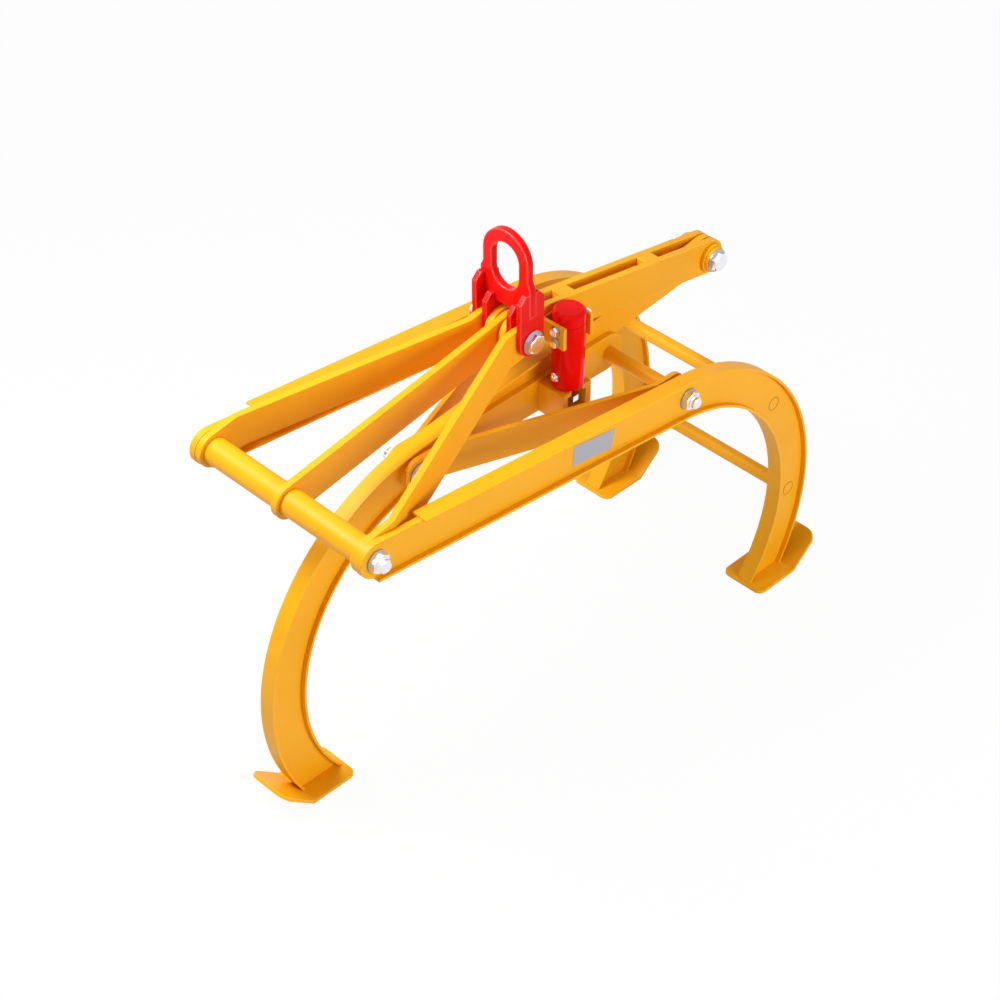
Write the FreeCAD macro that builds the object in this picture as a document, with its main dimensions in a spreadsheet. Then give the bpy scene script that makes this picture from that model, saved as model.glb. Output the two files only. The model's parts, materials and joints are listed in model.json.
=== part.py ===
import FreeCAD, Part
import math
import os
import Sketcher

# Self-closing rock grapple: two outer claws and one inner claw, two links, a level tie frame and
# a lifting eye. Millimetres, +Z up. The origin is on the ground, midway between the shoes' heels.
# The claws swing in the XZ plane and every pivot runs along Y. The near side is -Y.

os.makedirs("parts", exist_ok=True)
doc = FreeCAD.newDocument("rock_grapple")
sheet = doc.addObject("Spreadsheet::Sheet", "Sizes")

driving_sizes = [
    # Pivots, seen from the front and measured from the top pin.
    ("pin_height", 911.0),
    ("link_reach", 620.0),
    ("link_drop", 106.0),
    ("tie_reach", 293.6),
    ("tie_drop", 206.7),
    ("frame_half", 250.0),
    # Claw arms, welded as an I section.
    ("web_thick", 16.0),
    ("web_half", 41.5),
    ("flange_thick", 6.0),
    ("flange_width", 40.0),
    ("claw_radius", 451.5),
    ("outer_claw_lead", 8.0),
    ("inner_claw_lead", 24.0),
    ("top_flange_gap", 119.0),
    ("inner_flange_gap", 340.0),
    ("inner_heel_gap", 45.0),
    # Shoes, bent from plate.
    ("shoe_width", 120.0),
    ("shoe_thick", 8.0),
    ("shoe_floor", 126.0),
    ("shoe_heel_gap", 0.9),
    ("shoe_leg", 108.0),
    ("shoe_rise", 40.0),
    ("shoe_toe_round", 20.0),
    ("shoe_heel_round", 31.0),
    # Round bars between the two outer claws.
    ("bar_diameter", 33.7),
    ("rear_bar_angle", 47.7),
    ("low_bar_angle", 87.9),
    # Fits and fasteners.
    ("side_gap", 0.3),
    ("pin_clearance", 0.05),
    ("bolt_diameter", 30.0),
    ("rod_diameter", 27.0),
    ("washer_diameter", 58.0),
    ("washer_thick", 4.0),
    ("hex_flats", 41.0),
    ("head_thick", 13.0),
    ("nut_thick", 17.0),
    ("bolt_stick_out", 9.0),
    # Left link: three bars from the top pin to the long bolt.
    ("bar_thick", 16.0),
    ("bar_half", 40.0),
    ("bar_bend_top", 58.0),
    ("bar_bend_low", 70.0),
    ("spacer_diameter", 60.3),
    ("ring_thick", 7.0),
    ("ring_diameter", 70.0),
    # Right link: two plates with battens.
    ("plate_thick", 16.0),
    ("plate_half", 42.0),
    ("hub_thick", 4.2),
    ("hub_diameter", 72.0),
    ("batten_width", 45.0),
    ("batten_near_pin", 140.0),
    ("batten_far_pin", 415.0),
    ("free_play", 9.0),
    ("end_disc_thick", 10.0),
    ("end_disc_diameter", 68.0),
    ("end_cap_thick", 8.0),
    ("end_cap_diameter", 60.0),
    # Tie frame.
    ("tie_plate_thick", 14.0),
    ("tie_end_small", 36.0),
    ("tie_end_large", 46.0),
    ("splay_thick", 12.0),
    ("splay_half", 39.0),
    ("splay_foot", 50.0),
    ("end_spacer_length", 27.7),
    # Lifting eye.
    ("eye_thick", 18.6),
    ("eye_top", 246.0),
    ("eye_ring", 65.3),
    ("eye_hole_width", 78.0),
    ("eye_hole_height", 111.0),
    ("eye_hole_base", 105.0),
    ("eye_neck", 132.0),
    ("eye_base", 62.0),
    ("lug_thick", 13.5),
    ("lug_half", 35.0),
    ("outer_lug_top", 121.0),
    ("inner_lug_top", 82.0),
    ("lug_corner", 16.0),
    # Latch.
    ("latch_x", 113.0),
    ("latch_y", 70.0),
    ("latch_diameter", 73.0),
    ("latch_box_gap", 3.0),
    ("latch_length", 197.0),
    ("latch_wall", 6.0),
    ("latch_cap", 32.0),
    ("latch_chamfer", 7.0),
    ("latch_rod", 20.0),
    ("latch_tee_length", 50.0),
    ("latch_tee_width", 16.0),
    ("latch_tee_height", 14.0),
    ("latch_tee_drop", 190.0),
    ("latch_headroom", 4.0),
    ("bracket_thick", 9.0),
    ("bracket_height", 54.0),
    ("bracket_depth", 70.0),
    ("bracket_top", 7.0),
    ("bracket_washer", 24.0),
    ("bracket_washer_thick", 2.5),
    ("bracket_head_flats", 19.0),
    ("bracket_head_thick", 8.0),
    ("bracket_bolt_out", 5.0),
    ("bracket_high_bolt", 6.0),
    ("bracket_low_bolt", 35.0),
    ("box_width", 88.0),
    ("box_depth", 75.0),
    ("box_height", 75.0),
    ("box_wall", 16.0),
    ("box_lip", 12.0),
    ("box_slot", 35.0),
    ("box_top", 36.7),
    ("box_shift", 1.0),
]

for row, (alias, number) in enumerate(driving_sizes, start=1):
    sheet.set(f"A{row}", alias.replace("_", " "))
    sheet.set(f"B{row}", str(number))
    sheet.setAlias(f"B{row}", alias)
doc.recompute()


class Term:
    """A length or angle: its number and the expression that binds it to the sheet."""

    def __init__(self, number, text):
        self.number = number
        self.text = text

    def __float__(self):
        return float(self.number)

    def joined(self, other, sign, number):
        right = other.text if isinstance(other, Term) else repr(other)
        return Term(number, f"({self.text} {sign} {right})")

    def __add__(self, other):
        return self.joined(other, "+", self.number + float(other))

    def __sub__(self, other):
        return self.joined(other, "-", self.number - float(other))

    def __mul__(self, other):
        return self.joined(other, "*", self.number * float(other))

    def __truediv__(self, other):
        return self.joined(other, "/", self.number / float(other))

    def __neg__(self):
        return Term(-self.number, f"(-{self.text})")


class Sizes:
    """Reads the sheet: size.web_half is the term of the cell with that alias."""

    def __getattr__(self, alias):
        return Term(float(sheet.get(alias)), f"Sizes.{alias}")


size = Sizes()


def sine(angle):
    return Term(math.sin(math.radians(float(angle))), f"sin({angle.text} * 1deg)")


def cosine(angle):
    return Term(math.cos(math.radians(float(angle))), f"cos({angle.text} * 1deg)")


def root(term):
    return Term(math.sqrt(float(term)), f"sqrt({term.text})")


zero = Term(0.0, "0")


# Lengths and slopes of the bars of the linkage.
arm_run = size.link_reach + size.tie_reach
arm_fall = size.tie_drop - size.link_drop
arm_length = root(arm_run * arm_run + arm_fall * arm_fall)
arm_slope = math.degrees(math.atan2(float(arm_fall), float(arm_run)))
arm_slope_text = f"atan({arm_fall.text} / {arm_run.text})"
link_length = root(size.link_reach * size.link_reach + size.link_drop * size.link_drop)
link_slope = math.degrees(math.atan2(float(size.link_drop), float(size.link_reach)))

# The outer claws stand further from their crook than the inner one, which sets the top pin off centre.
top_x = -float(size.inner_claw_lead - size.outer_claw_lead) * math.cos(math.radians(arm_slope)) / 2

# Pivots, as (x, z).
pin_z = float(size.pin_height)
end_z = pin_z - float(size.link_drop)
tie_z = pin_z - float(size.tie_drop)
left_end = (top_x - float(size.link_reach), end_z)
right_end = (top_x + float(size.link_reach), end_z)
outer_tie = (top_x + float(size.tie_reach), tie_z)
inner_tie = (top_x - float(size.tie_reach), tie_z)
top_pivot = (top_x, pin_z)

# Layers along Y, from the middle outwards: each is the inner face of its layer.
web_face = size.web_thick / 2
tie_plate_face = web_face + size.side_gap
splay_face = tie_plate_face + size.tie_plate_thick
hub_face = size.bar_thick / 2
link_plate_face = hub_face + size.hub_thick + size.side_gap
inner_lug_face = link_plate_face + size.plate_thick + size.side_gap
side_bar_face = inner_lug_face + size.lug_thick + size.side_gap
outer_lug_face = side_bar_face + size.bar_thick + size.side_gap
lug_outside = outer_lug_face + size.lug_thick
frame_inner = size.frame_half - size.web_thick / 2
frame_outer = size.frame_half + size.web_thick / 2
low_bar_face = frame_inner - size.side_gap - size.bar_thick

nodes = []


def node(thing, label):
    """Names a finished sub-part and keeps it for the checks and the export."""
    thing.Label = label
    nodes.append(thing)
    return thing


def bind(thing, prop, term):
    thing.setExpression(prop, term.text)


def upright(x, y, z, slope=0.0, turned=False):
    """Stands a flat plate up: its drawing's x runs along the bar, its y is up and its normal is
    -Y, or, turned about for what points to -X, +Y. The slope is positive for a rise."""
    yaw = 180.0 if turned else 0.0
    turn = FreeCAD.Rotation(FreeCAD.Vector(0, 0, 1), yaw)
    turn = turn * FreeCAD.Rotation(FreeCAD.Vector(0, 1, 0), -slope)
    turn = turn * FreeCAD.Rotation(FreeCAD.Vector(1, 0, 0), 90.0)
    return FreeCAD.Placement(FreeCAD.Vector(x, y, z), turn)


def along_y(x, y, z):
    """Lays a turned piece along +Y, starting at the given point."""
    return FreeCAD.Placement(FreeCAD.Vector(x, y, z), FreeCAD.Rotation(FreeCAD.Vector(1, 0, 0), -90.0))


def origin_plane(body, role):
    for feature in body.Origin.OriginFeatures:
        if feature.Role == role:
            return feature
    raise ValueError(role)


def new_sketch(body, role, name):
    sketch = body.newObject("Sketcher::SketchObject", name)
    sketch.AttachmentSupport = [(origin_plane(body, role), "")]
    sketch.MapMode = "FlatFace"
    return sketch


def pad(body, sketch, length, symmetric=False):
    feature = body.newObject("PartDesign::Pad", sketch.Name + "_pad")
    feature.Profile = sketch
    if symmetric:
        feature.SideType = "Symmetric"
    bind(feature, "Length", length)
    return feature


def point(x, y):
    return FreeCAD.Vector(float(x), float(y), 0.0)


def constrain(sketch, name, term, *where):
    """Adds a driving constraint and binds it to the sheet."""
    kind = where[0]
    index = sketch.addConstraint(Sketcher.Constraint(kind, *where[1:], float(term)))
    sketch.renameConstraint(index, name)
    sketch.setExpression(f"Constraints.{name}", term.text)


def hole_at(sketch, name, x, y, radius):
    """Draws a round hole at a bound place."""
    hole = sketch.addGeometry(Part.Circle(point(x, y), FreeCAD.Vector(0, 0, 1), float(radius)), False)
    constrain(sketch, name + "_radius", radius, "Radius", hole)
    for axis, kind, term in (("x", "DistanceX", x), ("y", "DistanceY", y)):
        if isinstance(term, Term):
            constrain(sketch, f"{name}_{axis}", term, kind, -1, 1, hole, 3)
        else:
            target = -2 if axis == "x" else -1
            sketch.addConstraint(Sketcher.Constraint("PointOnObject", hole, 3, target))
    return hole


def eye_bar_outline(sketch, reach, end_a, end_b):
    """Draws a bar with a round end about the origin and another at the given reach."""
    spread = math.acos((float(end_a) - float(end_b)) / float(reach))
    up = FreeCAD.Vector(0, 0, 1)
    far = point(reach, 0)
    round_a = sketch.addGeometry(Part.ArcOfCircle(Part.Circle(point(0, 0), up, float(end_a)),
                                                  spread, 2 * math.pi - spread), False)
    round_b = sketch.addGeometry(Part.ArcOfCircle(Part.Circle(far, up, float(end_b)), -spread, spread), False)
    turn = point(math.cos(spread), math.sin(spread))
    mirror = point(math.cos(spread), -math.sin(spread))
    top = sketch.addGeometry(Part.LineSegment(turn * float(end_a), far + turn * float(end_b)), False)
    low = sketch.addGeometry(Part.LineSegment(mirror * float(end_a), far + mirror * float(end_b)), False)
    sketch.addConstraint(Sketcher.Constraint("Tangent", top, 1, round_a, 1))
    sketch.addConstraint(Sketcher.Constraint("Tangent", low, 1, round_a, 2))
    sketch.addConstraint(Sketcher.Constraint("Tangent", top, 2, round_b, 2))
    sketch.addConstraint(Sketcher.Constraint("Tangent", low, 2, round_b, 1))
    sketch.addConstraint(Sketcher.Constraint("Coincident", round_a, 3, -1, 1))
    sketch.addConstraint(Sketcher.Constraint("PointOnObject", round_b, 3, -1))
    constrain(sketch, "reach", reach, "DistanceX", -1, 1, round_b, 3)
    constrain(sketch, "end_a", end_a, "Radius", round_a)
    constrain(sketch, "end_b", end_b, "Radius", round_b)


def eye_bar(label, reach, end_a, end_b, thick, hole_a, hole_b, place):
    """A flat bar with a round eye at each end."""
    body = doc.addObject("PartDesign::Body", label + "_body")
    sketch = new_sketch(body, "XY_Plane", label + "_outline")
    eye_bar_outline(sketch, reach, end_a, end_b)
    hole_at(sketch, "hole_a", 0.0, 0.0, hole_a)
    hole_at(sketch, "hole_b", reach, 0.0, hole_b)
    pad(body, sketch, thick)
    body.Placement = place
    return node(body, label)


def joggled_bar(label, reach, half, thick, bend_a, bend_b, face_a, face_b, holes, place):
    """A bar with eyes, bent twice so that its ends lie on different layers: face_a and face_b are
    the layers' inner faces, measured along the drawing's normal."""
    outline = doc.addObject("Sketcher::SketchObject", label + "_outline")
    eye_bar_outline(outline, reach, half, half)
    hole_at(outline, "hole_a", 0.0, 0.0, holes)
    hole_at(outline, "hole_b", reach, 0.0, holes)
    blank = doc.addObject("Part::Extrusion", label + "_blank")
    blank.Base = outline
    blank.Dir = FreeCAD.Vector(0, 0, 1)
    blank.Solid = True
    blank.Symmetric = True
    bind(blank, "LengthFwd", (size.frame_half + thick) * 2)

    # The strip seen on its edge: two level ends and the slanting middle between them.
    strip = doc.addObject("Sketcher::SketchObject", label + "_strip")
    strip.Placement = FreeCAD.Placement(FreeCAD.Vector(), FreeCAD.Rotation(FreeCAD.Vector(1, 0, 0), 90.0))
    toward = 1.0 if float(face_b) > 0 else -1.0
    stations = [(-(half + thick), face_a), (bend_a, face_a),
                (reach - bend_b, face_b), (reach + half + thick, face_b)]
    inner = [point(x, y) for x, y in stations]
    outer = [point(x, float(y) + toward * float(thick)) for x, y in stations]
    ring = inner + outer[::-1]
    count = len(ring)
    for index in range(count):
        strip.addGeometry(Part.LineSegment(ring[index], ring[(index + 1) % count]), False)
    for index in range(count):
        strip.addConstraint(Sketcher.Constraint("Coincident", index, 2, (index + 1) % count, 1))
    for index, (x, y) in enumerate(stations):
        constrain(strip, f"inner_x{index}", x, "DistanceX", -1, 1, index, 1)
        constrain(strip, f"inner_y{index}", y, "DistanceY", -1, 1, index, 1)
        opposite = count - 1 - index
        outside = y + thick if toward > 0 else y - thick
        constrain(strip, f"outer_x{index}", x, "DistanceX", -1, 1, opposite, 1)
        constrain(strip, f"outer_y{index}", outside, "DistanceY", -1, 1, opposite, 1)
    bent = doc.addObject("Part::Extrusion", label + "_bent")
    bent.Base = strip
    bent.Dir = FreeCAD.Vector(0, 1, 0)
    bent.Solid = True
    bent.Symmetric = True
    bind(bent, "LengthFwd", (half + thick) * 2)

    bar = doc.addObject("Part::Common", label + "_bar")
    bar.Base = blank
    bar.Tool = bent
    bar.Placement = place
    return node(bar, label)


# Claw arms. Each is drawn from its link pivot along the straight part, with the claw after it.
outer_claw = arm_length - size.outer_claw_lead
inner_claw = arm_length - size.inner_claw_lead
sole_drop = size.pin_height - size.link_drop - size.shoe_thick


def on_claw(claw_start, radius, angle):
    """A bound place on the claw, by its radius and its angle from the straight part's normal."""
    return claw_start + radius * sine(angle), radius * cosine(angle) - size.claw_radius


def tip_angle(claw_start, radius):
    """Where an arc of the claw meets the top of the shoe, in degrees from its start."""
    slope = math.radians(arm_slope)
    centre_drop = float(claw_start) * math.sin(slope) + float(size.claw_radius) * math.cos(slope)
    below = float(sole_drop) - centre_drop
    return 90.0 + math.degrees(math.asin(below / float(radius))) - arm_slope


def claw_arc(sketch, claw_start, radius, start_angle=0.0):
    """One arc of the claw, drawn about its centre from the given angle to the shoe."""
    centre = point(claw_start, -size.claw_radius)
    circle = Part.Circle(centre, FreeCAD.Vector(0, 0, 1), float(radius))
    low = math.radians(90.0 - tip_angle(claw_start, radius))
    high = math.radians(90.0 - start_angle)
    return sketch.addGeometry(Part.ArcOfCircle(circle, low, high), False)


def place_claw(sketch, claw_start, outer, inner, tip):
    """Binds the centre of the two arcs and cuts them off level with the top of the shoe."""
    constrain(sketch, "claw_x", claw_start, "DistanceX", -1, 1, outer, 3)
    constrain(sketch, "claw_y", -size.claw_radius, "DistanceY", -1, 1, outer, 3)
    sketch.addConstraint(Sketcher.Constraint("Coincident", inner, 3, outer, 3))
    sketch.addConstraint(Sketcher.Constraint("Coincident", inner, 1, tip, 1))
    sketch.addConstraint(Sketcher.Constraint("Coincident", outer, 1, tip, 2))
    angle = sketch.addConstraint(Sketcher.Constraint("Angle", tip, math.radians(arm_slope)))
    sketch.renameConstraint(angle, "tip_slope")
    sketch.setExpression("Constraints.tip_slope", arm_slope_text)
    constrain(sketch, "tip_drop", sole_drop, "Distance", -1, 1, tip)


def arc_end(sketch, arc):
    return sketch.getPoint(arc, 1)


def web_outline(sketch, claw_start):
    """Nose, straight part and claw of the web."""
    half = size.web_half
    up = FreeCAD.Vector(0, 0, 1)
    nose = sketch.addGeometry(Part.ArcOfCircle(Part.Circle(point(0, 0), up, float(half)),
                                               math.pi / 2, 3 * math.pi / 2), False)
    top = sketch.addGeometry(Part.LineSegment(point(0, half), point(claw_start, half)), False)
    low = sketch.addGeometry(Part.LineSegment(point(0, -half), point(claw_start, -half)), False)
    outer = claw_arc(sketch, claw_start, size.claw_radius + half)
    inner = claw_arc(sketch, claw_start, size.claw_radius - half)
    tip = sketch.addGeometry(Part.LineSegment(arc_end(sketch, inner), arc_end(sketch, outer)), False)
    sketch.addConstraint(Sketcher.Constraint("Coincident", nose, 3, -1, 1))
    sketch.addConstraint(Sketcher.Constraint("Tangent", top, 1, nose, 1))
    sketch.addConstraint(Sketcher.Constraint("Tangent", low, 1, nose, 2))
    sketch.addConstraint(Sketcher.Constraint("Horizontal", top))
    sketch.addConstraint(Sketcher.Constraint("Horizontal", low))
    sketch.addConstraint(Sketcher.Constraint("Tangent", top, 2, outer, 2))
    sketch.addConstraint(Sketcher.Constraint("Tangent", low, 2, inner, 2))
    constrain(sketch, "half", half, "Radius", nose)
    place_claw(sketch, claw_start, outer, inner, tip)


def flange_outline(sketch, claw_start, start, low_side, high_side):
    """A flange on edge: from its start along the straight part and round the claw."""
    high = sketch.addGeometry(Part.LineSegment(point(start, high_side), point(claw_start, high_side)), False)
    low = sketch.addGeometry(Part.LineSegment(point(start, low_side), point(claw_start, low_side)), False)
    end = sketch.addGeometry(Part.LineSegment(point(start, low_side), point(start, high_side)), False)
    outer = claw_arc(sketch, claw_start, size.claw_radius + high_side)
    inner = claw_arc(sketch, claw_start, size.claw_radius + low_side)
    tip = sketch.addGeometry(Part.LineSegment(arc_end(sketch, inner), arc_end(sketch, outer)), False)
    sketch.addConstraint(Sketcher.Constraint("Coincident", low, 1, end, 1))
    sketch.addConstraint(Sketcher.Constraint("Coincident", high, 1, end, 2))
    sketch.addConstraint(Sketcher.Constraint("Horizontal", high))
    sketch.addConstraint(Sketcher.Constraint("Horizontal", low))
    sketch.addConstraint(Sketcher.Constraint("Vertical", end))
    sketch.addConstraint(Sketcher.Constraint("Tangent", high, 2, outer, 2))
    sketch.addConstraint(Sketcher.Constraint("Tangent", low, 2, inner, 2))
    constrain(sketch, "start", start, "DistanceX", -1, 1, low, 1)
    constrain(sketch, "low_side", low_side, "DistanceY", -1, 1, low, 1)
    constrain(sketch, "high_side", high_side, "DistanceY", -1, 1, high, 1)
    place_claw(sketch, claw_start, outer, inner, tip)


def heel_flange_outline(sketch, claw_start, start_angle, low_side, high_side):
    """A flange that begins on the claw itself, on a radius."""
    outer = claw_arc(sketch, claw_start, size.claw_radius + high_side, float(start_angle))
    inner = claw_arc(sketch, claw_start, size.claw_radius + low_side, float(start_angle))
    end = sketch.addGeometry(Part.LineSegment(sketch.getPoint(outer, 2), sketch.getPoint(inner, 2)), False)
    tip = sketch.addGeometry(Part.LineSegment(arc_end(sketch, inner), arc_end(sketch, outer)), False)
    sketch.addConstraint(Sketcher.Constraint("Coincident", outer, 2, end, 1))
    sketch.addConstraint(Sketcher.Constraint("Coincident", inner, 2, end, 2))
    outer_radius = size.claw_radius + high_side
    inner_radius = size.claw_radius + low_side
    constrain(sketch, "outer_radius", outer_radius, "Radius", outer)
    constrain(sketch, "inner_radius", inner_radius, "Radius", inner)
    start_x = on_claw(claw_start, outer_radius, start_angle)[0]
    constrain(sketch, "start_x", start_x, "DistanceX", -1, 1, outer, 2)
    start_in_x = on_claw(claw_start, inner_radius, start_angle)[0]
    constrain(sketch, "start_in_x", start_in_x, "DistanceX", -1, 1, inner, 2)
    place_claw(sketch, claw_start, outer, inner, tip)


def arm_web(label, claw_start, holes, place):
    body = doc.addObject("PartDesign::Body", label + "_body")
    sketch = new_sketch(body, "XY_Plane", label + "_outline")
    web_outline(sketch, claw_start)
    for name, x, y, radius in holes:
        hole_at(sketch, name, x, y, radius)
    pad(body, sketch, size.web_thick)
    body.Placement = place
    return node(body, label)


def arm_flange(label, claw_start, start, low_side, place):
    body = doc.addObject("PartDesign::Body", label + "_body")
    sketch = new_sketch(body, "XY_Plane", label + "_outline")
    flange_outline(sketch, claw_start, start, low_side, low_side + size.flange_thick)
    pad(body, sketch, size.flange_width)
    body.Placement = place
    return node(body, label)


def shoe(label, claw_start, y, turned):
    """A plate shoe: a floor under the claw and a leg that rises behind it, with rounded corners."""
    body = doc.addObject("PartDesign::Body", label + "_body")
    sketch = new_sketch(body, "XY_Plane", label + "_profile")
    rise = math.radians(float(size.shoe_rise))
    half_turn = math.radians(float(size.shoe_rise) / 2)
    thick = float(size.shoe_thick)
    floor = float(size.shoe_floor)
    leg = point(math.cos(rise), math.sin(rise)) * float(size.shoe_leg)
    normal = point(-math.sin(rise), math.cos(rise)) * thick
    crease = point(floor, 0)
    crease_top = point(floor - thick * math.tan(half_turn), thick)
    corners = [point(0, 0), crease, crease + leg, crease + leg + normal, crease_top, point(0, thick)]
    count = len(corners)
    for index in range(count):
        sketch.addGeometry(Part.LineSegment(corners[index], corners[(index + 1) % count]), False)
    for index in range(count):
        sketch.addConstraint(Sketcher.Constraint("Coincident", index, 2, (index + 1) % count, 1))
    sketch.addConstraint(Sketcher.Constraint("Coincident", 0, 1, -1, 1))
    sketch.addConstraint(Sketcher.Constraint("Horizontal", 0))
    sketch.addConstraint(Sketcher.Constraint("Horizontal", 4))
    sketch.addConstraint(Sketcher.Constraint("Vertical", 5))
    sketch.addConstraint(Sketcher.Constraint("Parallel", 1, 3))
    sketch.addConstraint(Sketcher.Constraint("Perpendicular", 1, 2))
    constrain(sketch, "floor", size.shoe_floor, "DistanceX", 0, 1, 0, 2)
    constrain(sketch, "thick", size.shoe_thick, "DistanceY", -1, 1, 4, 2)
    constrain(sketch, "leg", size.shoe_leg, "Distance", 1, 1, 1, 2)
    constrain(sketch, "leg_thick", size.shoe_thick, "Distance", 2, 1, 2, 2)
    constrain(sketch, "leg_run", size.shoe_leg * cosine(size.shoe_rise), "DistanceX", 1, 1, 1, 2)
    base = pad(body, sketch, size.shoe_width)
    leg_middle = float(leg.y) / 2
    for name, above, radius in (("toe", False, size.shoe_toe_round), ("heel", True, size.shoe_heel_round)):
        doc.recompute()
        edges = [f"Edge{index}" for index, edge in enumerate(base.Shape.Edges, start=1)
                 if abs(edge.Length - thick) < 0.01 and (edge.CenterOfMass.y > leg_middle) == above]
        rounding = body.newObject("PartDesign::Fillet", f"{label}_{name}_round")
        rounding.Base = (base, edges)
        bind(rounding, "Radius", radius)
        base = rounding
    body.Tip = base
    slope = math.radians(arm_slope)
    run = math.cos(slope) * float(claw_start) - math.sin(slope) * float(size.claw_radius)
    fall = math.sin(slope) * float(claw_start) + math.cos(slope) * float(size.claw_radius)
    centre_z = end_z - fall
    outside = float(size.claw_radius + size.web_half + size.flange_thick)
    flange_end = run - float(size.link_reach) + math.sqrt(outside ** 2 - (centre_z - thick) ** 2)
    toe = flange_end + float(size.shoe_heel_gap) + thick * math.tan(half_turn) - floor
    side = -1.0 if turned else 1.0
    body.Placement = upright(top_x + side * toe, y, 0.0, turned=turned)
    return node(body, label)


bolt_hole = size.bolt_diameter / 2 + size.pin_clearance
rod_hole = size.rod_diameter / 2 + size.pin_clearance
bar_hole = size.bar_diameter / 2
rear_x, rear_y = on_claw(outer_claw, size.claw_radius, size.rear_bar_angle)
low_x, low_y = on_claw(outer_claw, size.claw_radius, size.low_bar_angle)

flange_half = size.flange_width / 2
for side, web_y, flange_y in (("near", -float(frame_inner), -float(size.frame_half - flange_half)),
                              ("far", float(frame_outer), float(size.frame_half + flange_half))):
    flange_place = upright(left_end[0], flange_y, left_end[1], -arm_slope)
    arm_web(f"{side}_arm_web", outer_claw,
            [("link_hole", 0.0, 0.0, bolt_hole), ("tie_hole", arm_length, 0.0, rod_hole),
             ("rear_hole", rear_x, rear_y, bar_hole), ("low_hole", low_x, low_y, bar_hole)],
            upright(left_end[0], web_y, left_end[1], -arm_slope))
    arm_flange(f"{side}_arm_top_flange", outer_claw, size.top_flange_gap, size.web_half, flange_place)
    arm_flange(f"{side}_arm_low_flange", outer_claw, zero, -(size.web_half + size.flange_thick), flange_place)
    shoe_y = flange_y + float(size.shoe_width - size.flange_width) / 2
    shoe(f"{side}_shoe", outer_claw, shoe_y, False)

inner_flange_place = upright(right_end[0], -float(size.flange_width) / 2, right_end[1], -arm_slope, True)
arm_web("inner_arm_web", inner_claw,
        [("link_hole", 0.0, 0.0, bolt_hole), ("tie_hole", arm_length, 0.0, bolt_hole)],
        upright(right_end[0], -float(web_face), right_end[1], -arm_slope, True))
arm_flange("inner_arm_top_flange", inner_claw, size.inner_flange_gap, size.web_half, inner_flange_place)

heel_body = doc.addObject("PartDesign::Body", "inner_arm_low_flange_body")
heel_sketch = new_sketch(heel_body, "XY_Plane", "inner_arm_low_flange_outline")
heel_angle = size.inner_heel_gap / size.claw_radius * (180.0 / math.pi)
heel_flange_outline(heel_sketch, inner_claw, heel_angle, -(size.web_half + size.flange_thick), -size.web_half)
pad(heel_body, heel_sketch, size.flange_width)
heel_body.Placement = inner_flange_place
node(heel_body, "inner_arm_low_flange")
shoe("inner_shoe", inner_claw, -float(size.shoe_width) / 2, True)


def cylinder(name, radius, length, place):
    thing = doc.addObject("Part::Cylinder", name)
    bind(thing, "Radius", radius)
    bind(thing, "Height", length)
    thing.Placement = place
    return thing


def tube(name, diameter, bore, length, place):
    """A plain tube, ring or washer: a cylinder with a bored hole."""
    outside = cylinder(name + "_outside", diameter / 2, length, place)
    inside = cylinder(name + "_bore", bore, length, place)
    cut = doc.addObject("Part::Cut", name + "_tube")
    cut.Base = outside
    cut.Tool = inside
    return cut


def hexagon(name, flats, thick, place):
    prism = doc.addObject("Part::Prism", name)
    prism.Polygon = 6
    prism.setExpression("Circumradius", f"{flats.text} / 2 / cos(30deg)")
    bind(prism, "Height", thick)
    prism.Placement = place
    return prism


def group(pieces, label):
    """Several loose solids of one kind in one node."""
    together = doc.addObject("Part::Compound", label + "_group")
    together.Links = pieces
    return node(together, label)


def fused(pieces, label):
    together = doc.addObject("Part::MultiFuse", label + "_fused")
    together.Shapes = pieces
    return node(together, label)


def washer_pair(name, pivot, grip, bore):
    x, z = pivot
    near_y = -float(grip + size.washer_thick)
    return [tube(f"{name}_washer_{side}", size.washer_diameter, bore, size.washer_thick, along_y(x, y, z))
            for side, y in (("near", near_y), ("far", float(grip)))]


def hex_nut(name, pivot, clamp, bore, side):
    """A nut that bears on the washer at the near or the far end."""
    x, z = pivot
    y = float(clamp) if side == "far" else -float(clamp + size.nut_thick)
    blank = hexagon(name + "_blank", size.hex_flats, size.nut_thick, along_y(x, y, z))
    thread = cylinder(name + "_thread", bore, size.nut_thick, along_y(x, y, z))
    nut = doc.addObject("Part::Cut", name)
    nut.Base = blank
    nut.Tool = thread
    return nut


def hex_bolt(label, pivot, clamp, diameter, head_side):
    """A bolt whose head bears on one washer and whose end stands out of the nut at the other."""
    x, z = pivot
    nut_end = clamp + size.nut_thick + size.bolt_stick_out
    head_end = clamp + size.head_thick / 2
    near_end = head_end if head_side == "near" else nut_end
    head_y = -float(clamp + size.head_thick) if head_side == "near" else float(clamp)
    shank = cylinder(label + "_shank", diameter / 2, head_end + nut_end, along_y(x, -float(near_end), z))
    head = hexagon(label + "_head", size.hex_flats, size.head_thick, along_y(x, head_y, z))
    return fused([shank, head], label)


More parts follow.
